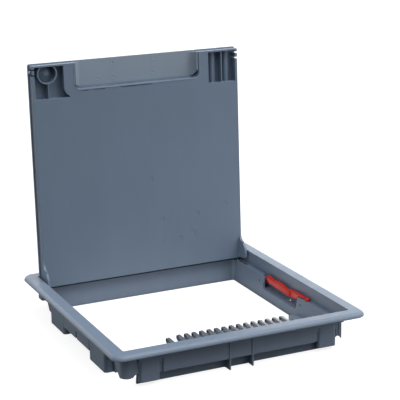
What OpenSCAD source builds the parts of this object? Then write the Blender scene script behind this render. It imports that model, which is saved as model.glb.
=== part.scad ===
// Underfloor outlet box surround: square frame, hinged lid, cable flap and comb, two side levers.
// The lid is drawn standing open. Z is zero under the frame's well, and +Z is up.
// The front, where the cables leave, is towards -Y, and the lid's hinge is at the back.

/* [Frame] */
// Outside width and depth of the square flange
frame_w = 264; // [250:1:300]
// Height from the underside of the well to the top of the flange
frame_h = 37.2; // [37:0.1:42]
// Width of the flange, from its outer edge to the lid opening
flange_w = 13.7; // [13:0.1:14.5]
// Thickness of the flange
flange_t = 4.9; // [4.5:0.1:5.5]
// Radius of the flange's corners
flange_r = 10.6; // [9:0.1:12]
// Radius that rounds the flange's outer top edge
flange_round = 4.2; // [2:0.1:4.4]
// Depth of the side ledges under the flange's top
ledge_drop = 14.5; // [14.3:0.1:15]
// Depth of the front pads, on which the closed lid rests
rest_drop = 11.5; // [11.5:0.1:12]
// Thickness of the frame's moulded walls
wall_t = 2.2; // [2:0.1:2.4]
// How far the well's walls lean in from the ledge to the bottom
well_taper = 4; // [3:0.1:4.5]
// Radius of the well's corners at the ledge
well_r = 6; // [5.5:0.5:12]

/* [Lid] */
// Length of the lid from hinge edge to free edge
lid_len = 233.4; // [232:0.1:233.4]
// Width of the lid across its underside
lid_w = 231.8; // [230:0.2:232]
// Thickness of the lid at its edges
lid_t = 11.4; // [11:0.1:11.4]
// How far the lid's top skin stands out past its sides
lid_lip = 1.25; // [0.8:0.05:1.3]
// How far the lid is turned from closed in the open position
open_angle = 92.3; // [92:0.1:92.4]
// Depth of the tray for the floor covering
tray_depth = 8; // [6:0.1:8]
// Thickness of the steel plate in the tray
plate_t = 1; // [0.8:0.1:1.2]

/* [Cable outlet] */
// Width of the cable outlet at the lid's free edge
outlet_w = 140; // [138:1:142]
// Depth of the cable outlet, back from the lid's free edge
outlet_d = 28.6; // [28:0.1:29]
// Thickness of the flap's floor
flap_t = 2.8; // [2.6:0.1:3]
// Number of evenly spaced teeth on the cable comb; one more stands apart at the left
comb_teeth = 15; // [9:2:15]
// Distance from tooth to tooth
comb_pitch = 7.8; // [7:0.1:7.8]
// Thickness of a tooth
tooth_t = 2.2; // [1.8:0.1:2.4]
// Length of a tooth, from the frame's wall to its tip
tooth_len = 25; // [20:0.5:28]

/* [Side levers] */
// Distance of a lever's pin in front of the frame's centre line
lever_pin_y = 43; // [42:0.5:44]
// Length of a lever from its pin to its grip end
lever_len = 93; // [90:0.5:94]
// Height of a lever at its grip
lever_h = 9.8; // [8:0.1:10]
// Radius of the steel lever pins
lever_pin_r = 1.25; // [1:0.05:1.4]
// Radius of the steel lid hinge pins
hinge_pin_r = 2; // [1.5:0.1:2.2]

/* [Hidden] */
$fn = 48;

// Overlap of fused bodies, and overshoot of cuts
lap = 0.4;
over = 1;
// Radial running clearance of pins in their eyes
running = 0.05;

half = frame_w / 2;
// Half width of the lid opening, and of the skirt's outside
bay = half - flange_w;
skirt = half - 11.4;
skirt_r = 7;
skirt_t = 2;
ledge_z = frame_h - ledge_drop;
rest_z = frame_h - rest_drop;
// Half sizes of the well at the ledge, across and front to back
well_x = bay - 6.3;
well_y = bay - 3.3;
lean = well_taper / ledge_z;

// Depths of the skirt's parts under the flange's top, and their ends along the side
collar_drop = 12.6;
collar_z = frame_h - collar_drop + lap;
side_block = [35, 76];
side_block_drop = 36.6;
side_mid_drop = 28.3;
front_block = [83, 103.4];
front_block_drop = 33.2;
front_panel = 80;
front_panel_drop = 26.1;
back_collar_drop = 17.7;
well_front_drop = 36.4;
// The well's front corners end this far down, from here outwards and to the front
well_corner_drop = 16.9;
well_corner = [104, 78];
post_drop = 27;
fin_x = 12;
fin_t = 1.4;
foot_h = 5.7;
foot_span = [-78, -31];

// Hinge line of the lid, and its distance from the lid's edge
pivot_s = 4.7;
pivot_y = bay - 6;
pivot_z = frame_h - lid_t / 2;
knuckle_r = lid_t / 2 - 0.4;
hinge_boss_l = 7;

// Places along the lid, from its hinge edge
free_s = lid_len + lid_lip;
outlet_s = free_s - outlet_d;
tray_s = [12.6, outlet_s - 9.2];
pocket_s = outlet_s - 7.4;
side_x = lid_w / 2;
rim = 2.6;

// Hinge line of the flap on the lid, and its stub pins
flap_s = outlet_s + 1.8;
flap_q = flap_t / 2 - lid_t;
flap_gap = 0.4;
// Radius of the outlet's inner corners
notch_r = 5;
stub_r = 1.1;
stub_len = 2.4;

// The lever's plan: its pin, its front arm along the wall, and its grip nearer the well
lever_x = bay - 2.8;
lever_t = 1.8;
lever_top = frame_h - lid_t - 0.5;
arm_x = lever_x + 2 - lever_t / 2;
grip_x = bay - 4 + lever_t / 2;
grip_y = lever_len - lever_pin_y;
lever_eye_r = 2.2;
lever_eye_drop = 1.2;
window_y = [-28, 44.6];
window_drop = 27.3;

shell_grey = [0.42, 0.47, 0.52];
lid_grey = [0.37, 0.43, 0.49];
flap_grey = [0.47, 0.51, 0.55];
lever_red = [0.67, 0.12, 0.1];
comb_grey = [0.25, 0.3, 0.33];
steel = [0.7, 0.71, 0.72];

// Points of an arc, in steps from the first angle to the last
function arc(c, r, a0, a1, steps = 6) =
    [for (i = [0:steps]) let(a = a0 + (a1 - a0) * i / steps) c + r * [cos(a), sin(a)]];

// A block given by its low and high corners
module box(low, high) {
    translate(low) cube(high - low);
}

// The same with its four upright edges rounded
module slab(low, high, r) {
    box([low[0], low[1] + r, low[2]], [high[0], high[1] - r, high[2]]);
    box([low[0] + r, low[1], low[2]], [high[0] - r, high[1], high[2]]);
    for (x = [low[0] + r, high[0] - r], y = [low[1] + r, high[1] - r])
        translate([x, y, low[2]]) cylinder(r = r, h = high[2] - low[2]);
}

// A square slab about the frame's middle
module square_slab(h, r, z0, z1) {
    slab([-h, -h, z0], [h, h, z1], r);
}

// What is drawn for the right side, and its mirror image on the left
module both_sides() {
    children();
    mirror([1, 0, 0]) children();
}

// A cylinder along X, from x0 to x1
module rod_x(x0, x1, r) {
    translate([x0, 0, 0]) rotate([0, 90, 0]) cylinder(r = r, h = x1 - x0);
}

// The form of the well, whose walls lean in towards the bottom, grown by a wall thickness
module well_form(grow, z0, z1) {
    dx = [(z0 - ledge_z) * lean, (z1 - ledge_z) * lean];
    for (turn = [0, 1]) {
        wide = grow + (turn == 0 ? well_x : well_y);
        reach = (turn == 0 ? well_y : well_x) - well_r;
        rotate([90, 0, turn * 90]) translate([0, 0, -reach]) linear_extrude(2 * reach)
            polygon([[-wide - dx[1], z1], [wide + dx[1], z1], [wide + dx[0], z0], [-wide - dx[0], z0]]);
    }
    for (sx = [-1, 1], sy = [-1, 1])
        translate([sx * (well_x - well_r), sy * (well_y - well_r), z0])
            cylinder(r1 = well_r + grow + dx[0], r2 = well_r + grow + dx[1], h = z1 - z0);
}

// Section of the flange's outer band, from the corner's centre outwards
module flange_section() {
    polygon(concat(
        [[0, 0], [flange_r - 0.6, 0], [flange_r, 0.6]],
        arc([flange_r - flange_round, flange_t - flange_round], flange_round, 0, 90, 8),
        [[0, flange_t]]));
}

module flange() {
    inner = half - flange_r;
    translate([0, 0, frame_h - flange_t]) {
        box([-inner, -inner, 0], [inner, inner, flange_t]);
        for (q = [0:3]) rotate(q * 90) translate([inner, inner, 0]) {
            rotate_extrude(angle = 90) flange_section();
            rotate([90, 0, 0]) linear_extrude(2 * inner) flange_section();
        }
    }
}

// Locating foot at the front left corner: a quarter round wall whose lower edge slants
module corner_post() {
    c = skirt - skirt_r;
    arm = 6;
    z0 = frame_h - post_drop;
    h = frame_h - flange_t + lap - z0;
    translate([-c, -c, z0]) rotate(180) difference() {
        union() {
            rotate_extrude(angle = 90) translate([skirt_r - skirt_t, 0]) square([skirt_t, h]);
            box([skirt_r - skirt_t, -arm, 0], [skirt_r, 0, h]);
            box([-arm, skirt_r - skirt_t, 0], [0, skirt_r, h]);
        }
        translate([0, -arm, 4.5]) rotate([-38, 0, 0]) box([0, -20, -20], [10, 7, 0]);
        translate([-arm, 0, 3]) rotate([0, 30, 0]) box([-20, 0, -20], [5, 10, 0]);
    }
}

// A hollow block of the skirt, open below, from a to b along a side that faces +X
module skirt_block(a, b, drop) {
    z0 = frame_h - drop;
    r = 3;
    difference() {
        union() {
            slab([skirt - 2 * r - 1, a, z0], [skirt, b, collar_z], r);
            box([well_x - well_taper + 0.6, a, z0], [skirt - r, b, collar_z]);
        }
        box([well_x - well_taper + 1.6, a + wall_t, z0 - over],
            [skirt - skirt_t, b - wall_t, ledge_z - wall_t]);
    }
}

module side_skirt() {
    for (m = [0, 1]) mirror([0, m, 0])
        skirt_block(side_block[0], side_block[1], side_block_drop);
    box([skirt - skirt_t, -side_block[0] - 1, frame_h - side_mid_drop],
        [skirt, side_block[0] + 1, collar_z]);
    // Lower edge of the collar between the rear block and the foot at the back corner
    box([skirt - skirt_t, side_block[1] - 4, frame_h - back_collar_drop], [skirt, 104, collar_z]);
    // Floor of the lever's window, between the well and the skirt
    box([well_x - 0.6, window_y[0] - 2, frame_h - window_drop - 1.5],
        [skirt - skirt_t + lap, window_y[1] + 2, frame_h - window_drop]);
}

module end_skirt() {
    for (m = [0, 1]) mirror([0, m, 0])
        skirt_block(front_block[0], front_block[1], front_block_drop);
    box([skirt - skirt_t, -front_panel, frame_h - front_panel_drop], [skirt, front_panel, collar_z]);
    // A thinner wall backs the grooves between the blocks and the panel
    box([skirt - 2 * skirt_t, -front_block[0] - 1, frame_h - front_panel_drop],
        [skirt - skirt_t + lap, front_block[0] + 1, collar_z]);
    // Two upright fins, which reach down to the well's lower edge
    for (y = [-fin_x, fin_x])
        box([well_y - well_taper, y - fin_t / 2, 0],
            [skirt + 0.8, y + fin_t / 2, frame_h - flange_t + lap]);
}

// Open-topped finger window in the side wall, in front of and under the lever
module lever_window() {
    z0 = frame_h - window_drop;
    r = 4;
    translate([well_x - 8, 0, 0]) rotate([90, 0, 90]) linear_extrude(bay - well_x + 8)
        polygon(concat(
            [[window_y[1], ledge_z + over]],
            arc([window_y[1] - r, z0 + r], r, 0, -90),
            arc([window_y[0] + 2, z0 + 2], 2, -90, -180),
            [[window_y[0], ledge_z + over]]));
    // Notch in the ledge behind the grip's end
    box([well_x + wall_t, window_y[1] - over, ledge_z - 4], [bay, grip_y + 2, ledge_z + over]);
}

// Bearing of the lid's hinge pin: round below, and straight up to the flange above
module hinge_bearing() {
    r = hinge_pin_r + 2.8;
    translate([bay - lap, pivot_y, pivot_z]) rotate([90, 0, 90]) linear_extrude(hinge_boss_l + lap)
        polygon(concat(arc([0, 0], r, 180, 360, 16), [for (y = [r, -r]) [y, frame_h - flange_t + lap - pivot_z]]));
}

// Everything that stands on one side wall, apart from the bay and the well that are cut next
module side_bosses() {
    side_skirt();
    hinge_bearing();
    // Boss that holds the lever's pin
    translate([lever_x, -lever_pin_y, ledge_z - 5]) cylinder(r = lever_pin_r + 1.9, h = 4);
    // Foot inside the front half of the side wall
    box([well_x - well_taper - 8, foot_span[0], 0], [well_x - 1, foot_span[1], foot_h]);
}

module side_cuts() {
    // Slot in the ledge for the ear of the closed lid
    box([bay - 5, pivot_y - 22.8, ledge_z - 15], [bay - 1.9, bay - 0.3, ledge_z + over]);
    lever_window();
    translate([0, pivot_y, pivot_z]) rod_x(bay - over, bay + hinge_boss_l + over, hinge_pin_r);
    translate([lever_x, -lever_pin_y, ledge_z - 4]) cylinder(r = lever_pin_r, h = 4 + over);
    // Two small holes through the well's wall
    for (y = [53.6, -35.6]) translate([0, y, frame_h - 20.9]) rod_x(well_x - 6, well_x + 4, 1.2);
    // Slot through the skirt at the middle of the side
    box([skirt - skirt_t - over, -2.4, frame_h - side_mid_drop - over], [skirt + over, 1, frame_h - 20.4]);
    // Slot through the inner foot
    box([well_x - 20, -39.6, 1.2], [well_x - well_taper - lap, -37.6, 4.6]);
}

module frame() {
    color(shell_grey) difference() {
        union() {
            flange();
            square_slab(skirt, skirt_r, frame_h - collar_drop, frame_h - flange_t + lap);
            square_slab(bay + 1.6, 5, ledge_z - wall_t, collar_z);
            well_form(wall_t, 0, ledge_z);
            for (q = [-90, 90]) rotate(q) end_skirt();
            both_sides() {
                side_bosses();
                // Small foot under the collar at the back corner
                slab([skirt - 6, 101, frame_h - 21.8], [skirt, 114.5, collar_z], 2.9);
            }
        }
        square_slab(bay, 1.2, ledge_z, frame_h + over);
        difference() {
            well_form(0, -ledge_z / 20, ledge_z * 1.05);
            both_sides() box([well_x - well_taper - 8, foot_span[0], -2 * over],
                [well_x, foot_span[1], foot_h]);
        }
        both_sides() side_cuts();
        // The well's front wall stops short of the floor, and its front corners higher up
        both_sides() {
            box([fin_x + fin_t, -skirt + 6, -over], [well_x, -well_y + 8, frame_h - well_front_drop]);
            box([well_corner[0], -well_y - 2.6, -over], [well_x + 3, -well_corner[1], frame_h - well_corner_drop]);
            // The collar is cut away under the flange's front corners
            box([front_block[1] + 0.6, -skirt - over, -over], [skirt + over, -106.8, frame_h - 9]);
        }
    }
    color(shell_grey) corner_post();
    // Pads on the front ledge, on which the free edge of the closed lid rests
    color(shell_grey) both_sides()
        box([outlet_w / 2 - 3.4, -bay - lap, ledge_z - lap], [front_block[1], -well_y, rest_z]);
}

// Places what is drawn flat, with the underside up, on the open lid:
// +Y runs from the hinge edge to the free edge, and +Z out of the underside
module on_lid() {
    translate([0, pivot_y, pivot_z]) rotate([180 - open_angle, 0, 0])
        translate([0, -pivot_s, lid_t / 2]) children();
}

// Body of the lid before its hollows: a plate with an overhanging top skin
module lid_block() {
    box([-side_x, pivot_s, -lid_t], [side_x, lid_len, 0]);
    slab([-side_x - lid_lip, pivot_s + 4, -lid_t], [side_x + lid_lip, free_s, flap_t - lid_t], 2);
    // Hinge edge, rounded about the hinge line
    translate([0, pivot_s, -lid_t / 2]) rod_x(-side_x, side_x, knuckle_r);
    box([-side_x, 0, -lid_t / 2], [side_x, pivot_s + 1, 0]);
}

// Ear beside the hinge, in the plane of the lid's side
module lid_ear() {
    translate([side_x - 2.4, 0, 0]) rotate([90, 0, 90]) linear_extrude(2.4)
        polygon(concat([[28, -1]], arc([28, 9], 9, 270, 186), arc([8, 2.6], 11, 12, 84, 8),
            [[3.6, 14.2], [1.6, 12.6], [0.4, -1]]));
}

// Pocket in the lid's left corner, whose inner wall flares towards the tray
module left_pocket() {
    translate([0, 0, flap_t - lid_t]) linear_extrude(lid_t)
        polygon(concat([[rim - side_x, pocket_s], [-75.8, pocket_s]],
            arc([-71, 209.5], 11.2, 240, 180),
            [[-82.2, lid_len - 1.8], [rim - side_x, lid_len - 1.8]]));
}

// Ring with a coned disc in it, and the rib below them, that stand in the left pocket
module left_pocket_details() {
    c = [-99.5, 224.2];
    floor_q = flap_t - lid_t - lap;
    ring_r = 10.6;
    translate([c[0], c[1], floor_q]) intersection() {
        union() {
            difference() {
                cylinder(r = ring_r, h = -floor_q - 0.8);
                translate([0, 0, -over]) cylinder(r = ring_r - 1.2, h = lid_t);
            }
            cylinder(r1 = ring_r - 0.4, r2 = 2, h = 3.6);
        }
        box([-20, -20, 0], [20, lid_len - 1.4 - c[1], lid_t]);
    }
    box([c[0] + 0.2, pocket_s - lap, floor_q], [c[0] + 1.2, c[1] - ring_r + 0.8, -1]);
}

module right_pocket_details() {
    floor_q = flap_t - lid_t - lap;
    box([96.7, pocket_s - lap, floor_q], [97.9, lid_len - 1.4, -0.8]);
    for (x = [89.2, 105.2]) translate([x, pocket_s - lap, floor_q]) rotate([-90, 0, 0])
        cylinder(r = 3.8, h = lid_len - 1.4 - pocket_s + lap);
}

// Centres of the studs that hold the steel plate, and of the mould's ejector marks
stud_places = [for (x = [-95, 0, 95], s = [30, 178]) [x, s]];
ejector_places = [[10, 101], [21, 56], [42, 32], [20, 33], [57, 37], [63, 57], [96, 64]];

module lid_cuts() {
    // Tray for the floor covering, open at the lid's top
    slab([rim - side_x, tray_s[0], -lid_t - over], [side_x - rim, tray_s[1], tray_depth - lid_t], 3);
    left_pocket();
    box([81.5, pocket_s, flap_t - lid_t], [side_x - rim, lid_len - 1.8, over]);
    slab([-outlet_w / 2, outlet_s, -lid_t - over], [outlet_w / 2, free_s + 2 * notch_r, over], notch_r);
    both_sides() {
        // Bores for the hinge pin and for the flap's stub
        translate([0, pivot_s, -lid_t / 2]) rod_x(side_x - 6.4, side_x + over, hinge_pin_r + running);
        translate([0, flap_s, flap_q])
            rod_x(outlet_w / 2 - notch_r, outlet_w / 2 + stub_len, stub_r + running);
        // Slots either side of the latch tongue in the side wall
        for (s = [223.5, 229.3])
            box([side_x - rim - over, s - 0.9, flap_t - lid_t], [side_x + over, s + 0.9, over]);
    }
    // Slots for the clips along the outlet's inner edge
    for (span = [[-62, -57], [-50, -38], [-20.5, -12.5], [-11.5, 15]])
        box([span[0], outlet_s - 2.6, -1.2], [span[1], outlet_s - 1.4, over]);
    for (c = ejector_places) translate([c[0], c[1], -0.25]) cylinder(r = 3, h = over);
}

module lid() {
    color(lid_grey) on_lid() {
        difference() {
            union() {
                lid_block();
                both_sides() lid_ear();
            }
            lid_cuts();
        }
        left_pocket_details();
        right_pocket_details();
        // Round nubs of the latches
        both_sides() translate([side_x - 0.6, 226.4, -7.4]) cylinder(r = 2.1, h = 5);
        for (c = stud_places) translate([c[0], c[1], tray_depth - lid_t + lap]) mirror([0, 0, 1]) {
            cylinder(r = 2.4, h = plate_t + lap + 0.2);
            translate([0, 0, plate_t + lap + 0.1]) cylinder(r1 = 4, r2 = 3, h = 0.5);
        }
    }
}

module lid_plate() {
    low = tray_depth - lid_t - plate_t;
    gap = 0.8;
    color(steel) on_lid() difference() {
        slab([rim - side_x + gap, tray_s[0] + gap, low],
            [side_x - rim - gap, tray_s[1] - gap, low + plate_t], 3);
        for (c = stud_places) translate([c[0], c[1], low - over]) cylinder(r = 2.5, h = plate_t + 2 * over);
    }
}

// The flap: a floor flush with the lid's top, and a cheek that curves up at each end
module cable_flap() {
    hw = outlet_w / 2 - flap_gap;
    r = notch_r + 5;
    color(flap_grey) on_lid() {
        intersection() {
            union() {
                slab([-hw, flap_s + 3, -lid_t], [hw, free_s, flap_t - lid_t], 1.5);
                box([-hw, flap_s, -lid_t], [hw, flap_s + 6, flap_t - lid_t]);
                translate([0, flap_s, flap_q]) rod_x(-hw, hw, flap_t / 2);
                both_sides() flap_cheek(hw);
            }
            // Corners rounded in plan, well clear of the outlet's corners
            slab([-hw - 0.02, outlet_s + flap_gap, -2 * lid_t], [hw + 0.02, free_s + 2 * r, over], r);
        }
        both_sides() translate([0, flap_s, flap_q]) rod_x(hw - r, hw + stub_len, stub_r);
    }
}

module flap_cheek(hw) {
    r = 8;
    floor_q = flap_t - lid_t;
    translate([0, free_s - 1.6, 0]) rotate([90, 0, 0]) linear_extrude(free_s - 1.8 - flap_s)
        polygon(concat([[hw, floor_q - lap], [hw, floor_q + r]],
            arc([hw - 0.6 - r, floor_q + r], r, 0, -90, 8),
            [[hw - 0.6 - r, floor_q - lap]]));
}

// The comb: a bar against the frame's front wall, and a row of teeth with round tips
module cable_comb() {
    top = frame_h - flap_t - flap_gap;
    middle = 1.4;
    low = middle - (comb_teeth - 1) * comb_pitch / 2;
    high = middle + (comb_teeth - 1) * comb_pitch / 2;
    // The tooth that stands apart is lower, to pass under the curve of the flap's cheek
    apart = [low - 10.8, 1.2];
    color(comb_grey) {
        box([apart[0] - tooth_t / 2, -bay, ledge_z], [high + tooth_t / 2, -well_y, top - apart[1]]);
        box([low - tooth_t / 2, -bay, ledge_z], [high + tooth_t / 2, -well_y, top]);
        for (i = [0:comb_teeth - 1]) tooth(low + i * comb_pitch, top);
        tooth(apart[0], top - apart[1]);
    }
}

module tooth(x, top) {
    translate([x + tooth_t / 2, -bay, top]) rotate([90, 0, -90]) linear_extrude(tooth_t) tooth_profile();
}

// Side view of a tooth: its root to the right, its tip to the left, its top at zero
module tooth_profile() {
    h = 8;
    tip = tooth_len;
    polygon(concat([[-1, 0]], [[-tip + h / 2, 0]], arc([-tip + h / 2, -h / 2], h / 2, 90, 235),
        [[-6, -h - 1.6], [-1, -h - 1.6]]));
}

module hinge_pin() {
    translate([0, pivot_y, pivot_z]) {
        rod_x(side_x - 5.3, bay + hinge_boss_l - 0.3, hinge_pin_r);
        translate([side_x - 5.3, 0, 0]) rotate([0, -90, 0]) cylinder(r1 = hinge_pin_r, r2 = hinge_pin_r - 0.6, h = 0.6);
    }
}

module hinge_pin_left() { color(steel) mirror([1, 0, 0]) hinge_pin(); }
module hinge_pin_right() { color(steel) hinge_pin(); }

// Plan of the lever behind its eye: an arm along the wall, a jog, and the grip
module lever_plan() {
    t = lever_t / 2;
    polygon([[arm_x - t, -lever_pin_y], [arm_x - t, -9], [grip_x - t, -4], [grip_x - t, grip_y - t],
        [grip_x, grip_y], [grip_x + t, grip_y - t], [grip_x + t, -4], [arm_x + t, -9],
        [arm_x + t, -lever_pin_y]]);
}

// Side view of the lever, as y and height below its top
module lever_profile() {
    low = lever_h;
    ledge = lever_top - ledge_z - 0.3;
    polygon(concat(
        [[-lever_pin_y - 3, -lever_eye_drop], [3.4 - lever_pin_y, -lever_eye_drop],
            [6 - lever_pin_y, -0.5], [-30, -0.5], [-22, 0], [-11, -0.2], [-7, -1.2], [-4, -2], [-1, -1.2],
            [4, -0.2], [18, 0], [26.5, -1.1], [35, 0]],
        arc([grip_y - 1.9, -1.9], 1.9, 90, 0, 4),
        [[grip_y, -ledge], [window_y[1] - 0.5, -ledge]],
        arc([window_y[1] - 3.5, 3 - low], 3, 0, -90, 5),
        [[33, 0.9 - low], [16, 0.3 - low], [2, -low], [-14, -low], [-19, 1.2 - low], [-26, -ledge - 0.6],
            [-26.4, -ledge], [-lever_pin_y - 3, -ledge]]));
}

module lever() {
    difference() {
        union() {
            intersection() {
                translate([0, 0, lever_top - 20]) linear_extrude(20) lever_plan();
                translate([lever_x - 8, 0, lever_top]) rotate([90, 0, 90])
                    linear_extrude(16) lever_profile();
            }
            translate([lever_x, -lever_pin_y, ledge_z + 0.3])
                cylinder(r = lever_eye_r, h = lever_top - lever_eye_drop - ledge_z - 0.3);
        }
        translate([lever_x, -lever_pin_y, 0]) cylinder(r = lever_pin_r + running, h = frame_h);
    }
}

module lever_left() { color(lever_red) mirror([1, 0, 0]) lever(); }
module lever_right() { color(lever_red) lever(); }

module lever_pin() {
    translate([lever_x, -lever_pin_y, 0]) {
        translate([0, 0, ledge_z - 4]) cylinder(r = lever_pin_r, h = lever_top - ledge_z + 3.5);
        translate([0, 0, lever_top - lever_eye_drop + 0.1])
            cylinder(r1 = lever_pin_r + 0.8, r2 = lever_pin_r + 0.4, h = lever_eye_drop - 0.3);
    }
}

module lever_pin_left() { color(steel) mirror([1, 0, 0]) lever_pin(); }
module lever_pin_right() { color(steel) lever_pin(); }

frame();
lid();
lid_plate();
cable_flap();
cable_comb();
hinge_pin_left();
hinge_pin_right();
lever_left();
lever_right();
lever_pin_left();
lever_pin_right();
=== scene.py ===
"""Looks of the surround for an underfloor outlet box: its frame, lid, flap, comb, levers and pins.

Lengths are in metres and angles in radians, unless a comment says otherwise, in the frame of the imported
part: +Z is up, the lid's hinge is at the back, towards +Y, and the cables leave at the front, towards -Y.
"""

import logging
import math
from collections.abc import Callable
from dataclasses import dataclass, field
from enum import Enum

import bmesh
import bpy
from bmesh.types import BMVert, BMesh
from bpy.types import GeometryNodeTree, Material, Mesh, Node, NodeSocket, NodeTree, Object, World
from mathutils import Matrix, Vector


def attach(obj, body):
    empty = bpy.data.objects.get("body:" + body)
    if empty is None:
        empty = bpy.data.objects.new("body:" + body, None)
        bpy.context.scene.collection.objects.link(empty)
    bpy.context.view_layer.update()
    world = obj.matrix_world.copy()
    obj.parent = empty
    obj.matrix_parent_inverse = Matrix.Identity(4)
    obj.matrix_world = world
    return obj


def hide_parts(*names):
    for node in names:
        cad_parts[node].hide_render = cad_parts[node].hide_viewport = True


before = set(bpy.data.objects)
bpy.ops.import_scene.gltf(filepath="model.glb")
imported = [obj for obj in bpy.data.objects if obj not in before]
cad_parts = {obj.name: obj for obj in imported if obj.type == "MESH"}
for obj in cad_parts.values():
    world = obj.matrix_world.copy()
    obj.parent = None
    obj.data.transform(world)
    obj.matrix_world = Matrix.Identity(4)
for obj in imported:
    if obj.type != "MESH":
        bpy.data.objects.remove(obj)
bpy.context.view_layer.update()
MM = 0.001
log = logging.getLogger("surround")


class Side(Enum):
    """A side of the surround, seen from the front."""

    LEFT = -1
    RIGHT = 1

    @property
    def label(self) -> str:
        """The word that the names of this side's parts end in."""
        return self.name.lower()


class Grain(Enum):
    """How a moulding's surface was etched in its tool: size of the grain and depth, in metres."""

    SATIN = (0.00045, 0.000012)
    POLISHED = (0.0016, 0.000006)


def srgb(red: float, green: float, blue: float) -> tuple[float, float, float, float]:
    """Turns a colour as a screen shows it into a linear one.

    Args:
        red: Red, from 0 to 255.
        green: Green, from 0 to 255.
        blue: Blue, from 0 to 255.

    Returns:
        The linear colour, with an alpha of 1.
    """

    def linear(value: float) -> float:
        """Turns one channel into a linear one."""
        share = value / 255
        return share / 12.92 if share <= 0.04045 else ((share + 0.055) / 1.055) ** 2.4

    return linear(red), linear(green), linear(blue), 1.0


def shade(colour: tuple[float, ...], share: float) -> tuple[float, float, float, float]:
    """Makes a linear colour lighter or darker.

    Args:
        colour: The linear colour.
        share: What its three channels are multiplied by.

    Returns:
        The new colour, with an alpha of 1.
    """
    return colour[0] * share, colour[1] * share, colour[2] * share, 1.0


class Graph:
    """A node tree that is written node by node."""

    PREFIX = "ShaderNode"

    def __init__(self, tree: NodeTree) -> None:
        """Takes a tree and empties it."""
        self.tree = tree
        self.tree.nodes.clear()

    def fill(self, node: Node, inputs: dict[int | str, object]) -> None:
        """Joins outputs to a node's inputs, or sets their values.

        Args:
            node: The node.
            inputs: The outputs and values, by name or number of the input.
        """
        for place, value in inputs.items():
            if isinstance(value, NodeSocket):
                self.tree.links.new(value, node.inputs[place])
            else:
                node.inputs[place].default_value = value

    def node(self, kind: str, inputs: dict[int | str, object] | None = None,
             **settings: int | str) -> Node:
        """Adds a node.

        Args:
            kind: Type of the node, without its prefix.
            inputs: Outputs to join and values to set, by name or number of the input.
            settings: The node's own settings, such as its operation.

        Returns:
            The node.
        """
        node = self.tree.nodes.new(self.PREFIX + kind)
        for name, value in settings.items():
            setattr(node, name, value)
        self.fill(node, inputs or {})
        return node


class ShaderGraph(Graph):
    """The node tree of one finish."""

    BEVEL_SAMPLES = 6

    def __init__(self, name: str) -> None:
        """Starts a material with a Principled shader.

        Args:
            name: Name of the material.
        """
        self.material = bpy.data.materials.new(name)
        self.material.use_nodes = True
        super().__init__(self.material.node_tree)
        self.shader = self.node("BsdfPrincipled")
        self.node("OutputMaterial", {"Surface": self.shader.outputs["BSDF"]})
        self.place = self.node("TexCoord").outputs["Object"]

    def noise(self, size: float, detail: float = 3.0, roughness: float = 0.5,
              stretch: tuple[float, float, float] = (1, 1, 1)) -> NodeSocket:
        """Adds a noise on the object's own coordinates.

        Args:
            size: Size of one blotch, in metres.
            detail: Number of finer layers.
            roughness: Strength of the finer layers.
            stretch: How much shorter the blotches are along each axis.

        Returns:
            The noise's value, from 0 to 1.
        """
        source = self.place
        if stretch != (1, 1, 1):
            source = self.node("Mapping", {"Vector": source, "Scale": stretch}).outputs["Vector"]
        node = self.node("TexNoise", {"Vector": source, "Scale": 1 / size, "Detail": detail,
                                      "Roughness": roughness})
        return node.outputs["Fac"]

    def ramp(self, value: NodeSocket, low: tuple[float, ...], high: tuple[float, ...],
             start: float = 0.3, end: float = 0.7) -> NodeSocket:
        """Turns a value into a colour between two colours.

        Args:
            value: The value to colour.
            low: Colour up to the start.
            high: Colour from the end on.
            start: Value at which the first colour stops.
            end: Value at which the second one is reached.

        Returns:
            The colour.
        """
        node = self.node("ValToRGB", {"Fac": value})
        stops = node.color_ramp.elements
        stops[0].position, stops[0].color = start, low
        stops[1].position, stops[1].color = end, high
        return node.outputs["Color"]

    def spread(self, value: NodeSocket, low: float, high: float,
               start: float = 0.3, end: float = 0.7) -> NodeSocket:
        """Maps a value onto a range.

        Args:
            value: The value to map.
            low: Result at the start.
            high: Result at the end.
            start: Value that gives the low result.
            end: Value that gives the high result.

        Returns:
            The mapped value.
        """
        node = self.node("MapRange", {"Value": value, "From Min": start, "From Max": end,
                                      "To Min": low, "To Max": high})
        return node.outputs["Result"]

    def mix(self, factor: NodeSocket, first: NodeSocket,
            second: NodeSocket) -> NodeSocket:
        """Mixes two colours.

        Args:
            factor: Share of the second colour.
            first: First colour.
            second: Second colour.

        Returns:
            The mixed colour.
        """
        # On a Mix node, inputs 6 and 7 and output 2 are the ones for colours
        return self.node("Mix", {0: factor, 6: first, 7: second}, data_type="RGBA").outputs[2]

    def round_edges(self, radius: float) -> NodeSocket:
        """Gives a normal that rounds the edges as seen, by a radius in metres."""
        return self.node("Bevel", {"Radius": radius}, samples=self.BEVEL_SAMPLES).outputs["Normal"]

    def relief(self, height: NodeSocket, depth: float,
               normal: NodeSocket) -> NodeSocket:
        """Raises a relief on the surface.

        Args:
            height: Height of the relief, from 0 to 1.
            depth: What a height of 1 measures, in metres.
            normal: The normal to start from.

        Returns:
            The new normal.
        """
        node = self.node("Bump", {"Height": height, "Strength": 1.0, "Distance": depth, "Normal": normal})
        return node.outputs["Normal"]

    def finish(self, inputs: dict[int | str, object]) -> Material:
        """Joins and sets the shader's own inputs.

        Args:
            inputs: The outputs and values, by name of the input.

        Returns:
            The material.
        """
        self.fill(self.shader, inputs)
        return self.material


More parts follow.
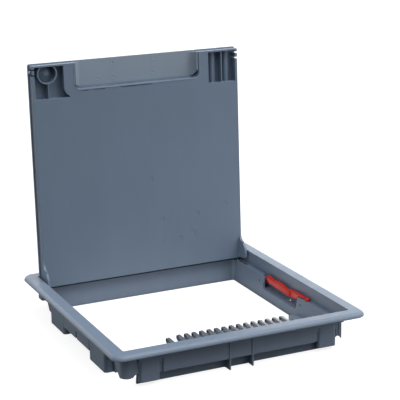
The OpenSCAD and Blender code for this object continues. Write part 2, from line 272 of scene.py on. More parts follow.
@dataclass(frozen=True)
class MouldedPlastic:
    """A moulded plastic with an etched grain, faint flow marks and softly rounded edges."""

    name: str
    colour: tuple[float, float, float, float]
    roughness: float = 0.42
    grain: Grain = Grain.SATIN
    mottle: float = 0.06
    edge: float = 0.0005
    specular: float = 0.3
    cloud_size: float = 0.06
    flow_size: float = 0.02
    flow_stretch: tuple[float, float, float] = (1.0, 1.0, 0.22)
    rub_size: float = 0.011
    rub_change: tuple[float, float] = (-0.05, 0.06)
    wave_size: float = 0.025
    wave_depth: float = 0.00006

    def material(self) -> Material:
        """Builds the material.

        Returns:
            The material.
        """
        graph = ShaderGraph(self.name)
        flow = graph.noise(self.flow_size, roughness=0.6, stretch=self.flow_stretch)
        dark = graph.ramp(flow, shade(self.colour, 1 - self.mottle), self.colour)
        light = graph.ramp(flow, self.colour, shade(self.colour, 1 + self.mottle))
        cloud = graph.spread(graph.noise(self.cloud_size, detail=4.0, roughness=0.55), 0.0, 1.0)
        rubbed = graph.spread(graph.noise(self.rub_size, detail=5.0, roughness=0.65),
                              *(self.roughness + change for change in self.rub_change))
        size, depth = self.grain.value
        etched = graph.relief(graph.noise(size, detail=2.0), depth, graph.round_edges(self.edge))
        waves = graph.noise(self.wave_size, detail=2.0, roughness=0.4)
        return graph.finish({"Base Color": graph.mix(cloud, dark, light), "Roughness": rubbed,
                             "Normal": graph.relief(waves, self.wave_depth, etched),
                             "Specular IOR Level": self.specular})


@dataclass(frozen=True)
class GalvanisedSteel:
    """Sheet steel with the spangle of its zinc coat."""

    name: str = "zinc_coated_sheet"
    colour: tuple[float, float, float, float] = srgb(178, 182, 184)
    tones: tuple[float, float] = (0.86, 1.05)
    roughness: tuple[float, float] = (0.34, 0.5)
    spangle: float = 0.009
    skin_size: float = 0.0012
    skin_depth: float = 0.00001
    edge: float = 0.0002

    def material(self) -> Material:
        """Builds the material.

        Returns:
            The material.
        """
        graph = ShaderGraph(self.name)
        crystals = graph.node("TexVoronoi", {"Vector": graph.place, "Scale": 1 / self.spangle,
                                             "Randomness": 1.0})
        facet = graph.node("SeparateColor", {"Color": crystals.outputs["Color"]}).outputs["Red"]
        dark, light = (shade(self.colour, tone) for tone in self.tones)
        skin = graph.relief(graph.noise(self.skin_size), self.skin_depth, graph.round_edges(self.edge))
        return graph.finish({"Base Color": graph.ramp(facet, dark, light, start=0.1, end=0.9),
                             "Roughness": graph.spread(facet, *self.roughness, start=0.0, end=1.0),
                             "Normal": skin, "Metallic": 1.0})


@dataclass(frozen=True)
class TurnedSteel:
    """Bright steel wire with fine marks round its axis."""

    name: str
    marks: tuple[float, float, float]
    colour: tuple[float, float, float, float] = srgb(186, 188, 190)
    tones: tuple[float, float] = (0.85, 1.05)
    roughness: tuple[float, float] = (0.22, 0.38)
    mark_size: float = 0.00025
    mark_depth: float = 0.000006
    edge: float = 0.00015

    def material(self) -> Material:
        """Builds the material.

        Returns:
            The material.
        """
        graph = ShaderGraph(self.name)
        lines = graph.noise(self.mark_size, detail=2.0, stretch=self.marks)
        dark, light = (shade(self.colour, tone) for tone in self.tones)
        cut = graph.relief(lines, self.mark_depth, graph.round_edges(self.edge))
        return graph.finish({"Base Color": graph.ramp(lines, dark, light),
                             "Roughness": graph.spread(lines, *self.roughness),
                             "Normal": cut, "Metallic": 1.0})


@dataclass
class Finishes:
    """Every finish of the surround, built once."""

    shell: Material = field(init=False)
    lid: Material = field(init=False)
    flap: Material = field(init=False)
    comb: Material = field(init=False)
    lever: Material = field(init=False)
    plate: Material = field(init=False)
    hinge_pin: Material = field(init=False)
    lever_pin: Material = field(init=False)

    def __post_init__(self) -> None:
        """Builds the materials."""
        self.shell = MouldedPlastic("shell_grey", srgb(108, 122, 140)).material()
        self.lid = MouldedPlastic("lid_grey", srgb(101, 117, 136), roughness=0.4, mottle=0.05).material()
        self.flap = MouldedPlastic("flap_grey", srgb(128, 142, 156), roughness=0.44, mottle=0.04).material()
        self.comb = MouldedPlastic("comb_grey", srgb(78, 88, 101), roughness=0.34, edge=0.0006,
                                   specular=0.7).material()
        self.lever = MouldedPlastic("lever_red", srgb(200, 34, 16), roughness=0.36, grain=Grain.POLISHED,
                                    mottle=0.08, edge=0.0009).material()
        self.plate = GalvanisedSteel().material()
        self.hinge_pin = TurnedSteel("hinge_pin_steel", marks=(1, 0.05, 0.05)).material()
        self.lever_pin = TurnedSteel("lever_pin_steel", marks=(0.05, 0.05, 1)).material()


@dataclass(frozen=True)
class LidPlane:
    """The open lid's own directions: across it, along it from its hinge edge, and out of its underside."""

    hinge_y: float = 112.3 * MM
    hinge_z: float = 31.5 * MM
    lean: float = math.radians(180 - 92.3)
    hinge_along: float = 4.7 * MM
    hinge_out: float = -5.7 * MM

    def point(self, across: float, along: float, out: float) -> Vector:
        """Places a point that is given on the lid.

        Args:
            across: Distance to the right of the middle.
            along: Distance from the hinge edge.
            out: Height above the underside.

        Returns:
            The point in the frame of the part.
        """
        run, rise = along - self.hinge_along, out - self.hinge_out
        return Vector((across, self.hinge_y + run * math.cos(self.lean) - rise * math.sin(self.lean),
                       self.hinge_z + run * math.sin(self.lean) + rise * math.cos(self.lean)))


def mesh_object(name: str, mesh: Mesh) -> Object:
    """Puts a mesh in the scene as an object at the origin.

    Args:
        name: Name of the object.
        mesh: Its mesh.

    Returns:
        The object.
    """
    piece = bpy.data.objects.new(name, mesh)
    bpy.context.scene.collection.objects.link(piece)
    return piece


def smooth(mesh: Mesh, angle: float) -> None:
    """Shades a mesh smooth, apart from its edges that are sharper than an angle in degrees."""
    mesh.shade_smooth()
    mesh.set_sharp_from_angle(angle=math.radians(angle))


def close_mesh(name: str, form: BMesh, smooth_to: float) -> Mesh:
    """Turns a form's faces outwards and makes it a mesh that is smooth up to an angle.

    Args:
        name: Name of the mesh.
        form: The form, which is freed.
        smooth_to: Angle in degrees from which an edge stays sharp.

    Returns:
        The mesh.
    """
    bmesh.ops.remove_doubles(form, verts=form.verts, dist=1e-7)
    bmesh.ops.recalc_face_normals(form, faces=form.faces)
    mesh = bpy.data.meshes.new(name)
    form.to_mesh(mesh)
    form.free()
    smooth(mesh, smooth_to)
    return mesh


def plain(piece: Object) -> Object:
    """Replaces a piece's live modifiers by their result, as one plain mesh.

    Args:
        piece: The piece.

    Returns:
        The same piece, with no modifier.
    """
    graph = bpy.context.evaluated_depsgraph_get()
    result = bpy.data.meshes.new_from_object(piece.evaluated_get(graph), depsgraph=graph)
    piece.modifiers.clear()
    old, piece.data = piece.data, result
    bpy.data.meshes.remove(old)
    return piece


def mount(piece: Object, body: str, slot: str, *stands_for: str) -> Object:
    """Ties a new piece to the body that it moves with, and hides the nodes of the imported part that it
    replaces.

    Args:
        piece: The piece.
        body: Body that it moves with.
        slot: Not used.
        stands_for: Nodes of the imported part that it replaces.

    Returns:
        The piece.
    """
    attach(piece, body)
    if stands_for:
        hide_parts(*stands_for)
    log.info("built %s on %s", piece.name, body)
    return piece


class GeometryGraph(Graph):
    """A Geometry Nodes tree with named inputs, built in the script."""

    PREFIX = "GeometryNode"

    def __init__(self, name: str, **asked: str) -> None:
        """Starts a tree that takes a geometry and a material and gives a geometry back.

        Args:
            name: Name of the tree.
            asked: Type of each further input, such as Float or Object, by name of the input.
        """
        super().__init__(bpy.data.node_groups.new(name, "GeometryNodeTree"))
        sockets = self.tree.interface
        for label, kind in {"Geometry": "Geometry", **asked, "Material": "Material"}.items():
            sockets.new_socket(label, in_out="INPUT", socket_type=f"NodeSocket{kind}")
        sockets.new_socket("Geometry", in_out="OUTPUT", socket_type="NodeSocketGeometry")
        self.inputs = self.tree.nodes.new("NodeGroupInput").outputs

    def finish(self, *results: NodeSocket) -> GeometryNodeTree:
        """Joins the results, makes their instances real and gives them the material that is asked for.

        Args:
            results: The geometries.

        Returns:
            The tree.
        """
        joined = self.node("JoinGeometry")
        for result in results:
            self.fill(joined, {"Geometry": result})
        real = self.node("RealizeInstances", {"Geometry": joined.outputs["Geometry"]})
        dressed = self.node("SetMaterial", {"Geometry": real.outputs["Geometry"],
                                            "Material": self.inputs["Material"]})
        self.fill(self.tree.nodes.new("NodeGroupOutput"), {"Geometry": dressed.outputs["Geometry"]})
        return self.tree


def row_tree() -> GeometryNodeTree:
    """Builds the tree that repeats a unit along a straight row, beside what it is given.

    Returns:
        The tree.
    """
    graph = GeometryGraph("row_of_units", Unit="Object", Count="Int", First="Vector", Step="Vector")
    given = graph.inputs
    line = graph.node("MeshLine", {"Count": given["Count"], "Start Location": given["First"],
                                   "Offset": given["Step"]}, mode="OFFSET")
    unit = graph.node("ObjectInfo", {"Object": given["Unit"]})
    row = graph.node("InstanceOnPoints", {"Points": line.outputs["Mesh"],
                                          "Instance": unit.outputs["Geometry"]})
    return graph.finish(given["Geometry"], row.outputs["Instances"])


def scatter_tree() -> GeometryNodeTree:
    """Builds the tree that sets a unit on every point that it is given.

    Returns:
        The tree.
    """
    graph = GeometryGraph("unit_on_points", Unit="Object")
    unit = graph.node("ObjectInfo", {"Object": graph.inputs["Unit"]})
    spread = graph.node("InstanceOnPoints", {"Points": graph.inputs["Geometry"],
                                             "Instance": unit.outputs["Geometry"]})
    return graph.finish(spread.outputs["Instances"])


def bead_tree() -> GeometryNodeTree:
    """Builds the tree that runs a round bead along the line that it is given.

    Returns:
        The tree.
    """
    graph = GeometryGraph("bead_on_line", Radius="Float", Sides="Int")
    given = graph.inputs
    path = graph.node("MeshToCurve", {"Mesh": given["Geometry"]})
    ring = graph.node("CurvePrimitiveCircle", {"Resolution": given["Sides"], "Radius": given["Radius"]})
    bead = graph.node("CurveToMesh", {"Curve": path.outputs["Curve"], "Profile Curve": ring.outputs["Curve"],
                                      "Fill Caps": True})
    return graph.finish(bead.outputs["Mesh"])


@dataclass
class Repeats:
    """The Geometry Nodes trees of the scene, built once."""

    row: GeometryNodeTree = field(default_factory=row_tree)
    scatter: GeometryNodeTree = field(default_factory=scatter_tree)
    bead: GeometryNodeTree = field(default_factory=bead_tree)

    def grow(self, piece: Object, tree: GeometryNodeTree,
             **values: object) -> Object:
        """Runs a tree on a piece and keeps the result as a plain mesh.

        Args:
            piece: The piece whose mesh the tree is given.
            tree: The tree.
            values: The tree's inputs by name.

        Returns:
            The piece.
        """
        modifier = piece.modifiers.new("grow", "NODES")
        modifier.node_group = tree
        for item in tree.interface.items_tree:
            if item.item_type == "SOCKET" and item.in_out == "INPUT" and item.name in values:
                modifier[item.identifier] = values[item.name]
        plain(piece)
        unit = values.get("Unit")
        if unit is not None:
            bpy.data.objects.remove(unit)
        return piece


def arc_points(centre: tuple[float, float], radius: float, start: float, end: float,
               steps: int = 8) -> list[tuple[float, float]]:
    """Lists points along an arc.

    Args:
        centre: Its centre.
        radius: Its radius.
        start: First angle, in degrees.
        end: Last angle, in degrees.
        steps: Number of steps between them.

    Returns:
        The points.
    """
    angles = [math.radians(start + (end - start) * step / steps) for step in range(steps + 1)]
    return [(centre[0] + radius * math.cos(angle), centre[1] + radius * math.sin(angle)) for angle in angles]


def band(form: BMesh, first: list[BMVert],
         second: list[BMVert]) -> None:
    """Joins two closed loops of as many points by a band of faces.

    Args:
        form: The form that the loops are in.
        first: Points of the first loop.
        second: Points of the second loop.
    """
    for here, there in zip(range(len(first)), [*range(1, len(first)), 0]):
        form.faces.new((first[here], first[there], second[there], second[here]))


def turned(form: BMesh, profile: tuple[tuple[float, float], ...], sides: int,
           place: Callable[[Vector], Vector]) -> list[list[BMVert]]:
    """Turns a profile round the upright axis and joins its loops by bands of faces.

    Args:
        form: The form to add them to.
        profile: Radius and height of each loop, in millimetres.
        sides: Number of points round each loop.
        place: Moves a point from the axis through the origin to where it belongs.

    Returns:
        The loops.
    """
    loops = []
    for radius, height in profile:
        angles = [math.tau * step / sides for step in range(sides)]
        loops.append([form.verts.new(place(Vector((radius * math.cos(angle), radius * math.sin(angle),
                                                   height)) * MM)) for angle in angles])
    for first, second in zip(loops, loops[1:]):
        band(form, first, second)
    return loops


def slab(name: str, outline: list[tuple[float, float]], face_y: float, depth: float) -> Mesh:
    """Builds an upright slab from its front view.

    Args:
        name: Name of the mesh.
        outline: Its outline as x and z.
        face_y: Place of its front face.
        depth: Its thickness.

    Returns:
        The mesh.
    """
    form = bmesh.new()
    face = form.faces.new([form.verts.new((x, face_y, z)) for x, z in outline])
    moved = bmesh.ops.extrude_face_region(form, geom=[face])["geom"]
    bmesh.ops.translate(form, vec=(0, depth, 0),
                        verts=[item for item in moved if isinstance(item, BMVert)])
    return close_mesh(name, form, 30)


def rod(name: str, sides: int, radius: float, height: float,
        middle: tuple[float, float, float]) -> Mesh:
    """Builds an upright round rod.

    Args:
        name: Name of the mesh.
        sides: Number of its sides.
        radius: Its radius.
        height: Its height.
        middle: Its middle.

    Returns:
        The mesh.
    """
    form = bmesh.new()
    bmesh.ops.create_cone(form, cap_ends=True, segments=sides, radius1=radius, radius2=radius, depth=height)
    bmesh.ops.translate(form, verts=form.verts, vec=middle)
    return close_mesh(name, form, 50)


def line_mesh(name: str, points: list[Vector], edges: list[tuple[int, int]]) -> Mesh:
    """Builds a mesh of points and edges alone.

    Args:
        name: Name of the mesh.
        points: The points.
        edges: The numbers of the points that each edge joins.

    Returns:
        The mesh.
    """
    mesh = bpy.data.meshes.new(name)
    mesh.from_pydata(points, edges, [])
    return mesh


@dataclass
class CableComb:
    """The comb in the front wall: a bar with a row of teeth, each a thin web inside a wider rim.

    The sweep of a tooth's tip is in degrees.
    """

    finishes: Finishes
    repeats: Repeats
    wall_y: float = -118.3 * MM
    bar_depth: float = 3.3 * MM
    bar_bottom: float = 22.7 * MM
    bar_drop: float = 0.5 * MM
    top: float = 34.0 * MM
    length: float = 25.0 * MM
    height: float = 8.0 * MM
    width: float = 3.2 * MM
    web: float = 0.7 * MM
    rim: float = 1.1 * MM
    tip_radius: float = 2.7 * MM
    tip_sweep: tuple[float, float] = (90.0, -76.0)
    root: float = 1.0 * MM
    foot_run: float = 7.0 * MM
    foot_drop: float = 1.4 * MM
    rounding: float = 0.3 * MM
    count: int = 15
    pitch: float = 7.8 * MM
    first: float = -53.2 * MM
    apart: float = -64.0 * MM
    apart_drop: float = 1.2 * MM

    def build(self) -> None:
        """Builds the comb and lets it stand for its node."""
        bar = mesh_object("comb", self.bar())
        for first, drop, count in ((self.first, 0.0, self.count), (self.apart, self.apart_drop, 1)):
            tooth = mesh_object("tooth", self.tooth())
            rounding = tooth.modifiers.new("rounding", "BEVEL")
            rounding.width, rounding.segments = self.rounding, 2
            plain(tooth)
            self.repeats.grow(bar, self.repeats.row, Unit=tooth, Count=count, First=(first, 0, -drop),
                              Step=(self.pitch, 0, 0), Material=self.finishes.comb)
        mount(bar, "frame", "comb", "cable_comb")

    def bar(self) -> Mesh:
        """Builds the bar that the teeth stand on, lower under the tooth that stands apart.

        Returns:
            The mesh.
        """
        left, step = self.apart - self.width / 2, self.first - self.width / 2
        right = self.first + (self.count - 1) * self.pitch + self.width / 2
        high = self.top - self.bar_drop
        low = high - self.apart_drop
        outline = [(left, self.bar_bottom), (right, self.bar_bottom), (right, high), (step, high),
                   (step, low), (left, low)]
        return slab("comb", outline, self.wall_y, self.bar_depth)

    def outline(self, inset: float) -> list[tuple[float, float]]:
        """Lists a tooth's side view as y and z, drawn in by an inset.

        Args:
            inset: Distance from the tooth's outside.

        Returns:
            The points, from the root over the tip and back.
        """
        centre = (self.wall_y + self.length - self.tip_radius, self.top - self.tip_radius)
        over_tip = arc_points(centre, self.tip_radius - inset, *self.tip_sweep, 12)
        root, foot = self.wall_y + self.root, self.top - self.height - self.foot_drop + inset
        return [(root, self.top - inset), *over_tip, (self.wall_y + self.foot_run, foot), (root, foot)]

    def tooth(self) -> Mesh:
        """Builds one tooth about x = 0.

        Returns:
            The mesh.
        """
        form = bmesh.new()
        rings = []
        for inset, half in ((0, self.width / 2), (self.rim, self.width / 2), (self.rim, self.web / 2)):
            for side in (-1, 1):
                rings.append([form.verts.new((side * half, y, z)) for y, z in self.outline(inset)])
        left_out, right_out, left_in, right_in, left_web, right_web = rings
        for first, second in ((left_out, left_in), (right_out, right_in), (left_in, left_web),
                              (right_in, right_web), (left_out, right_out)):
            band(form, first, second)
        form.faces.new(left_web)
        form.faces.new(right_web)
        return close_mesh("tooth", form, 50)


@dataclass
class CornerWeb:
    """The set-back web between a front corner's leg and the block beside it, with its two upright ribs."""

    finishes: Finishes
    repeats: Repeats
    side: Side
    span: tuple[float, float] = (101.0 * MM, 110.0 * MM)
    face_y: float = -119.0 * MM
    thick: float = 1.2 * MM
    bottom: float = 9.4 * MM
    crown: float = 3.4 * MM
    top: float = 33.0 * MM
    arch_steps: int = 12
    rib_start: float = 2.9 * MM
    rib_pitch: float = 3.0 * MM
    rib_radius: float = 0.6 * MM

    def build(self) -> None:
        """Builds the web with its ribs."""
        side = self.side
        web = mesh_object(f"corner_web_{side.label}", self.panel())
        low = self.bottom + self.crown
        rib = rod("rib", 12, self.rib_radius, self.top - low, (0, self.face_y, (self.top + low) / 2))
        self.repeats.grow(web, self.repeats.row, Unit=mesh_object("rib", rib), Count=2,
                          First=(side.value * (self.span[0] + self.rib_start), 0, 0),
                          Step=(side.value * self.rib_pitch, 0, 0), Material=self.finishes.shell)
        mount(web, "frame", "shell")

    def panel(self) -> Mesh:
        """Builds the panel with its arched lower edge.

        Returns:
            The mesh.
        """
        near, far = self.span
        outline = [(far, self.top), (near, self.top)]
        for step in range(self.arch_steps + 1):
            share = step / self.arch_steps
            outline.append((near + (far - near) * share,
                            self.bottom + self.crown * math.sin(math.pi * share)))
        return slab("corner_web", [(self.side.value * x, z) for x, z in outline], self.face_y, self.thick)


@dataclass
class SideLever:
    """One of the two red levers: a wavy bar on a pin, with a ridged grip."""

    finishes: Finishes
    repeats: Repeats
    side: Side
    top: float = 25.3 * MM
    pin: tuple[float, float] = (115.5 * MM, -43.0 * MM)
    bar_sides: int = 20
    squareness: float = 3.2
    eye_sides: int = 32
    neck_x: tuple[float, float] = (114.8 * MM, 117.2 * MM)
    neck_y: tuple[float, float] = (-41.0 * MM, -38.6 * MM)
    neck_z: tuple[float, float] = (23.05 * MM, 24.6 * MM)
    ridges: int = 9
    ridge_first: float = -9.0 * MM
    ridge_pitch: float = 2.2 * MM
    ridge_x: float = 113.75 * MM
    ridge_radius: float = 0.42 * MM
    ridge_height: float = 5.2 * MM
    ridge_drop: float = 5.4 * MM

    # Stations along the bar, in millimetres: y, middle in x, thickness, and how far its top and bottom are
    # below the highest level
    STATIONS = ((-39.5, 115.9, 2.8, 0.7, 2.25), (-36.0, 115.5, 3.8, 0.35, 2.25),
                (-31.0, 115.2, 4.6, 0.1, 2.25), (-27.4, 115.1, 4.8, 0.0, 2.3),
                (-26.0, 115.2, 4.6, 0.0, 5.4), (-22.5, 115.5, 4.0, 0.0, 7.8),
                (-16.0, 115.9, 3.4, 0.1, 9.0), (-11.0, 115.8, 3.0, 0.5, 9.6),
                (-6.5, 115.3, 3.0, 1.5, 9.8), (-3.0, 115.0, 3.0, 1.9, 9.8), (1.0, 114.9, 3.0, 1.2, 9.7),
                (6.0, 114.9, 3.0, 0.4, 9.6), (12.0, 114.9, 3.0, 0.15, 9.4),
                (18.0, 114.9, 3.0, 0.2, 9.2), (24.0, 114.9, 3.0, 0.9, 9.0),
                (28.0, 114.9, 3.0, 0.9, 8.9), (33.0, 114.9, 3.0, 0.2, 8.9),
                (38.0, 114.9, 2.9, 0.0, 8.9), (41.5, 114.9, 2.7, 0.3, 8.2),
                (43.6, 114.9, 2.3, 1.2, 6.4), (44.2, 114.9, 1.6, 2.2, 5.0))

    # Radius and height of the eye's loops, in millimetres: up inside round the pin, then down outside
    EYE = ((1.32, 23.05), (1.32, 24.12), (2.12, 24.12), (2.12, 25.18), (0.02, 25.18),
           (0.02, 25.65), (1.7, 25.6), (2.25, 25.35), (2.5, 24.85), (2.5, 23.05))

    def build(self) -> None:
        """Builds the lever and lets it stand for its node."""
        side, name = self.side, f"lever_{self.side.label}"
        lever = mesh_object(f"side_{name}", self.bar())
        ridge = rod("ridge", 10, self.ridge_radius, self.ridge_height,
                    (side.value * self.ridge_x, 0, self.top - self.ridge_drop))
        self.repeats.grow(lever, self.repeats.row, Unit=mesh_object("ridge", ridge), Count=self.ridges,
                          First=(0, self.ridge_first, 0), Step=(0, self.ridge_pitch, 0),
                          Material=self.finishes.lever)
        mount(lever, name, "lever", name)

    def ring(self, station: tuple[float, ...]) -> list[tuple[float, float, float]]:
        """Lists the bar's outline across itself at a station.

        Args:
            station: One of the stations.

        Returns:
            The points round it.
        """
        y, middle, thick, high, low = station
        half_x, half_z, power = thick / 2, (low - high) / 2, 2 / self.squareness
        centre_z = self.top / MM - (high + low) / 2
        points = []
        for step in range(self.bar_sides):
            angle = math.tau * (step + 0.5) / self.bar_sides
            c, s = math.cos(angle), math.sin(angle)
            across = middle + math.copysign(abs(c) ** power, c) * half_x
            up = centre_z + math.copysign(abs(s) ** power, s) * half_z
            points.append((self.side.value * across * MM, y * MM, up * MM))
        return points

    def bar(self) -> Mesh:
        """Builds the bar through its stations, with its eye round the pin.

        Returns:
            The mesh.
        """
        form = bmesh.new()
        rings = [[form.verts.new(point) for point in self.ring(station)] for station in self.STATIONS]
        for first, second in zip(rings, rings[1:]):
            band(form, first, second)
        form.faces.new(rings[0])
        form.faces.new(rings[-1])
        self.add_eye(form)
        return close_mesh("side_lever", form, 45)

    def add_eye(self, form: BMesh) -> None:
        """Adds the eye: a cap over the pin's head, with a neck that the bar grows out of.

        Args:
            form: The form to add it to.
        """
        centre = Vector((self.side.value * self.pin[0], self.pin[1], 0))
        loops = turned(form, self.EYE, self.eye_sides, lambda point: centre + point)
        band(form, loops[-1], loops[0])
        verts = [form.verts.new((self.side.value * x, y, z))
                 for x in self.neck_x for y in self.neck_y for z in self.neck_z]
        for face in ((0, 1, 3, 2), (4, 6, 7, 5), (0, 4, 5, 1), (2, 3, 7, 6), (0, 2, 6, 4), (1, 5, 7, 3)):
            form.faces.new([verts[index] for index in face])


@dataclass
class LidTrim:
    """The trim of the lid's cable outlet: rim, hinge strip, and the flap's rounded edges and mould marks."""

    finishes: Finishes
    repeats: Repeats
    plane: LidPlane = LidPlane()
    half_width: float = 71.0 * MM
    corner: float = 6.0 * MM
    inner: float = 205.1 * MM
    outer: float = 231.0 * MM
    radius: float = 1.0 * MM
    sunk: float = 0.7 * MM
    bead_sides: int = 12
    strip_radius: float = 0.55 * MM
    strip_end: tuple[float, float, float] = (65.5 * MM, 206.5 * MM, -7.9 * MM)
    fill_levels: tuple[float, float] = (-10.4 * MM, -8.4 * MM)
    cheek: float = 68.6 * MM
    cheek_span: tuple[float, float] = (215.0 * MM, 233.4 * MM)
    cheek_out: float = -1.6 * MM
    mark_sides: int = 28
    mark_out: float = -8.6 * MM

    # Arcs round a corner fill, in millimetres and degrees: the outlet's corner and the flap's wider one
    FILL_ARCS = (((65.0, 211.05), 5.3, 270, 360), ((59.6, 216.45), 10.3, 353, 277))

    # Middles of the flap's marks, in millimetres across the lid and along it
    MARKS = ((22.0, 229.6), (20.6, 215.0), (-25.0, 214.0), (-41.5, 213.6), (-25.0, 228.6))

    # Radius and height of the loops of a mark, in millimetres
    MARK = ((2.6, -0.2), (2.6, 0.06), (2.45, 0.16), (2.0, 0.16), (1.85, 0.08))

    def build(self) -> None:
        """Builds the rim, the strip, the edges and the marks."""
        rim = self.bead("outlet_rim", self.rim_line(), self.radius, self.finishes.lid)
        smooth(rim.data, 60)
        mount(rim, "lid", "lid")
        strip = mesh_object("flap_hinge_strip", self.corner_fills())
        ends = [self.plane.point(side.value * self.strip_end[0], *self.strip_end[1:]) for side in Side]
        line = self.bead("strip_line", line_mesh("strip_line", ends, [(0, 1)]), self.strip_radius,
                         self.finishes.lid)
        self.repeats.grow(strip, self.repeats.row, Unit=line, Count=1, First=(0, 0, 0), Step=(0, 0, 0),
                          Material=self.finishes.lid)
        mount(strip, "lid", "lid")
        ends = [self.plane.point(side.value * self.cheek, along, self.cheek_out)
                for side in Side for along in self.cheek_span]
        edges = self.bead("flap_edges", line_mesh("flap_edges", ends, [(0, 1), (2, 3)]), self.radius,
                          self.finishes.flap)
        smooth(edges.data, 60)
        mount(edges, "flap", "flap")
        points = [self.plane.point(across * MM, along * MM, self.mark_out) for across, along in self.MARKS]
        marks = mesh_object("flap_marks", line_mesh("flap_marks", points, []))
        self.repeats.grow(marks, self.repeats.scatter, Unit=mesh_object("mark", self.mark()),
                          Material=self.finishes.flap)
        mount(marks, "flap", "flap")

    def bead(self, name: str, line: Mesh, radius: float,
             material: Material) -> Object:
        """Runs a round bead along a line.

        Args:
            name: Name of the piece.
            line: The line, as a mesh of edges.
            radius: Radius of the bead.
            material: Its finish.

        Returns:
            The piece.
        """
        return self.repeats.grow(mesh_object(name, line), self.repeats.bead, Radius=radius,
                                 Sides=self.bead_sides, Material=material)

    def rim_line(self) -> Mesh:
        """Builds the line that the rim follows round the outlet.

        Returns:
            The line, as a mesh of edges.
        """
        width, corner = self.half_width, self.corner
        left = arc_points((corner - width, self.inner + corner), corner, 180, 270)
        right = arc_points((width - corner, self.inner + corner), corner, 270, 360)
        flat = [(-width, self.outer), *left, *right, (width, self.outer)]
        points = [self.plane.point(across, along, -self.sunk) for across, along in flat]
        return line_mesh("outlet_rim", points, [(index, index + 1) for index in range(len(flat) - 1)])

    def corner_fills(self) -> Mesh:
        """Builds the two webs that fill the outlet's corners outside the flap's wider corners.

        Returns:
            The mesh.
        """
        form = bmesh.new()
        plan = [point for arc in self.FILL_ARCS for point in arc_points(*arc)]
        for side in Side:
            low, high = [[form.verts.new(self.plane.point(side.value * across * MM, along * MM, out))
                          for across, along in plan] for out in self.fill_levels]
            band(form, low, high)
            form.faces.new(low)
            form.faces.new(high)
        return close_mesh("corner_fills", form, 30)

    def mark(self) -> Mesh:
        """Builds one mark: a low round pad with a rounded edge.

        Returns:
            The mesh.
        """
        form = bmesh.new()
        turn = (self.plane.point(0, 0, 1) - self.plane.point(0, 0, 0)).to_track_quat("Z", "Y")
        loops = turned(form, self.MARK, self.mark_sides, lambda point: turn @ point)
        form.faces.new(loops[0])
        form.faces.new(loops[-1])
        return close_mesh("mark", form, 50)


def dress(node: str, material: Material) -> Object:
    """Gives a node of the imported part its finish.

    Args:
        node: Name of the node.
        material: The finish.

    Returns:
        The node's object.
    """
    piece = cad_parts[node]
    piece.data.materials.clear()
    piece.data.materials.append(material)
    log.info("dressed %s in %s", node, material.name)
    return piece


@dataclass
class Surround:
    """The square frame with what is fixed to it."""

    finishes: Finishes

    def build(self) -> None:
        """Dresses the frame and the pins that are pressed into it."""
        dress("frame", self.finishes.shell)
        for side in Side:
            dress(f"hinge_pin_{side.label}", self.finishes.hinge_pin)
            dress(f"lever_pin_{side.label}", self.finishes.lever_pin)


@dataclass
class Lid:
    """The lid, with its steel plate and its flap."""

    finishes: Finishes

    def build(self) -> None:
        """Dresses the lid, the plate and the flap."""
        dress("lid", self.finishes.lid)
        dress("lid_plate", self.finishes.plate)
        dress("cable_flap", self.finishes.flap)


@dataclass(frozen=True)
class Glow:
    """A soft patch of light in the studio's sky.

    The azimuth is turned from the back towards the right, in degrees, and the elevation is above the floor.
    """

    azimuth: float
    elevation: float
    strength: float

    @property
    def direction(self) -> tuple[float, float, float]:
        """Direction from the object to the patch."""
        turn, rise = math.radians(self.azimuth), math.radians(self.elevation)
        return (math.sin(turn) * math.cos(rise), math.cos(turn) * math.cos(rise), math.sin(rise))


@dataclass(frozen=True)
class Card:
    """A bright card that lies on the floor and lights the object from below.

    Its corners are given in metres across and from front to back.
    """

    name: str
    low: tuple[float, float]
    high: tuple[float, float]
    strength: float


class LightGraph(Graph):
    """The node tree of the floor or the sky, with one look for the camera and another for the other rays."""

    def __init__(self, owner: Material | World) -> None:
        """Starts the tree with the kinds of ray.

        Args:
            owner: The floor's material or the world.
        """
        owner.use_nodes = True
        super().__init__(owner.node_tree)
        rays = self.node("LightPath").outputs
        self.camera = rays["Is Camera Ray"]
        self.mirrored = self.node("Math", {0: rays["Is Glossy Ray"], 1: rays["Is Transmission Ray"]},
                                  operation="MAXIMUM").outputs[0]

    def finish(self, kind: str, rest: Node, seen: Node) -> None:
        """Ends the tree.

        Args:
            kind: Material or World.
            rest: Shader for all rays but the camera's.
            seen: Shader for the camera's rays.
        """
        mixed = self.node("MixShader", {0: self.camera, 1: rest.outputs[0], 2: seen.outputs[0]})
        self.node(f"Output{kind}", {"Surface": mixed.outputs[0]})


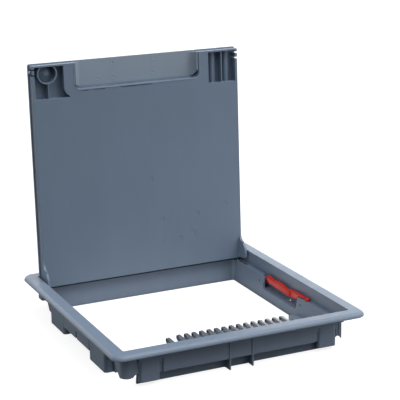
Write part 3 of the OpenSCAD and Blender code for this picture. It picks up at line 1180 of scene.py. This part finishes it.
@dataclass
class Studio:
    """The floor, the light and the camera."""

    floor_size: float = 14.0
    floor_dark: float = 0.03
    floor_mirrored: float = 0.45
    floor_pale: float = 0.3
    floor_lift: float = 0.84
    glow_power: float = 16.0
    glows: tuple[Glow, ...] = (Glow(0, 85, 1.3), Glow(135, 55, 5.6), Glow(90, 55, 3.0), Glow(225, 55, 2.6),
                               Glow(270, 30, 1.2), Glow(135, 5, 2.2), Glow(45, 5, 3.0), Glow(0, 5, 3.0),
                               Glow(315, 5, 2.6))
    cards: tuple[Card, ...] = (Card("inner_card", (-0.09, -0.06), (0.104, 0.108), 0.75),
                               Card("right_card", (0.135, -0.5), (0.9, 0.5), 0.9))
    card_height: float = 0.4 * MM
    eye: tuple[float, float, float] = (-0.54132, -1.18729, 0.49757)
    yaw: float = 0.43859
    pitch: float = -0.27170
    roll: float = -0.01244
    focal_px: float = 1363.84
    image_px: float = 400.0
    sensor_mm: float = 36.0

    WHITE = (1.0, 1.0, 1.0, 1.0)

    def build(self) -> None:
        """Makes the floor, the cards, the sky and the camera."""
        self.lay_floor()
        for card in self.cards:
            self.lay_card(card)
        self.hang_sky()
        self.aim_camera()
        log.info("set up the studio")

    def lay_floor(self) -> None:
        """Lays a floor that the camera sees as white and other surfaces see as dark."""
        half = self.floor_size / 2
        mesh = bpy.data.meshes.new("floor")
        mesh.from_pydata([(-half, -half, 0), (half, -half, 0), (half, half, 0), (-half, half, 0)], [],
                         [(0, 1, 2, 3)])
        floor = mesh_object("floor", mesh)
        mesh.materials.append(self.floor_material())

    def floor_material(self) -> Material:
        """Builds the floor's material.

        Returns:
            The material.
        """
        material = bpy.data.materials.new("floor_white")
        graph = LightGraph(material)
        tone = graph.node("MapRange", {"Value": graph.mirrored, "To Min": self.floor_dark,
                                       "To Max": self.floor_mirrored})
        dark = graph.node("BsdfDiffuse", {"Color": tone.outputs["Result"]})
        pale = graph.node("BsdfDiffuse", {"Color": shade(self.WHITE, self.floor_pale)})
        lift = graph.node("Emission", {"Color": self.WHITE, "Strength": self.floor_lift})
        graph.finish("Material", dark, graph.node("AddShader", {0: pale.outputs[0], 1: lift.outputs[0]}))
        return material

    def lay_card(self, card: Card) -> None:
        """Lays a card as an area lamp that faces up and that the camera doesn't see.

        Args:
            card: The card.
        """
        wide, deep = card.high[0] - card.low[0], card.high[1] - card.low[1]
        data = bpy.data.lights.new(card.name, "AREA")
        data.shape = "RECTANGLE"
        data.size, data.size_y = wide, deep
        data.energy = card.strength * math.pi * wide * deep
        lamp = bpy.data.objects.new(card.name, data)
        lamp.location = (card.low[0] + wide / 2, card.low[1] + deep / 2, self.card_height)
        lamp.rotation_euler = (math.pi, 0, 0)
        lamp.visible_camera = False
        bpy.context.scene.collection.objects.link(lamp)

    def hang_sky(self) -> None:
        """Makes the world: white where the camera sees it, and patches of soft light for the rest."""
        world = bpy.data.worlds.new("studio")
        bpy.context.scene.world = world
        graph = LightGraph(world)
        view = graph.node("TexCoord").outputs["Generated"]
        total: NodeSocket | float = 0.0
        for glow in self.glows:
            toward = graph.node("VectorMath", {0: view, 1: glow.direction}, operation="DOT_PRODUCT")
            facing = graph.node("Math", {0: toward.outputs["Value"], 1: 0.0}, operation="MAXIMUM")
            lobe = graph.node("Math", {0: facing.outputs[0], 1: self.glow_power}, operation="POWER")
            sum_so_far = graph.node("Math", {0: lobe.outputs[0], 1: glow.strength, 2: total},
                                    operation="MULTIPLY_ADD")
            total = sum_so_far.outputs[0]
        strength = graph.node("Math", {0: total, 1: graph.mirrored}, operation="ADD").outputs[0]
        soft = graph.node("Background", {"Color": self.WHITE, "Strength": strength})
        graph.finish("World", soft, graph.node("Background", {"Color": self.WHITE, "Strength": 1.0}))

    def aim_camera(self) -> None:
        """Puts the camera where the view has the lid to the left and the lever on the right."""
        ahead = Vector((math.sin(self.yaw) * math.cos(self.pitch),
                        math.cos(self.yaw) * math.cos(self.pitch), math.sin(self.pitch)))
        level = Vector((math.cos(self.yaw), -math.sin(self.yaw), 0))
        above = level.cross(ahead)
        right = math.cos(self.roll) * level + math.sin(self.roll) * above
        up = math.cos(self.roll) * above - math.sin(self.roll) * level
        turn = Matrix((right, up, -ahead)).transposed()
        data = bpy.data.cameras.new("camera")
        data.sensor_width = self.sensor_mm
        data.lens = self.focal_px / self.image_px * self.sensor_mm
        camera = bpy.data.objects.new("camera", data)
        camera.matrix_world = Matrix.Translation(Vector(self.eye)) @ turn.to_4x4()
        bpy.context.scene.collection.objects.link(camera)
        bpy.context.scene.camera = camera


def main() -> None:
    """Builds the surround and the studio round it."""
    logging.basicConfig(level=logging.INFO, format="%(name)s: %(message)s")
    bpy.context.scene.view_settings.view_transform = "Standard"
    finishes = Finishes()
    repeats = Repeats()
    Surround(finishes).build()
    CableComb(finishes, repeats).build()
    for side in Side:
        CornerWeb(finishes, repeats, side).build()
    Lid(finishes).build()
    LidTrim(finishes, repeats).build()
    for side in Side:
        SideLever(finishes, repeats, side).build()
    Studio().build()


if __name__ == "__main__":
    main()
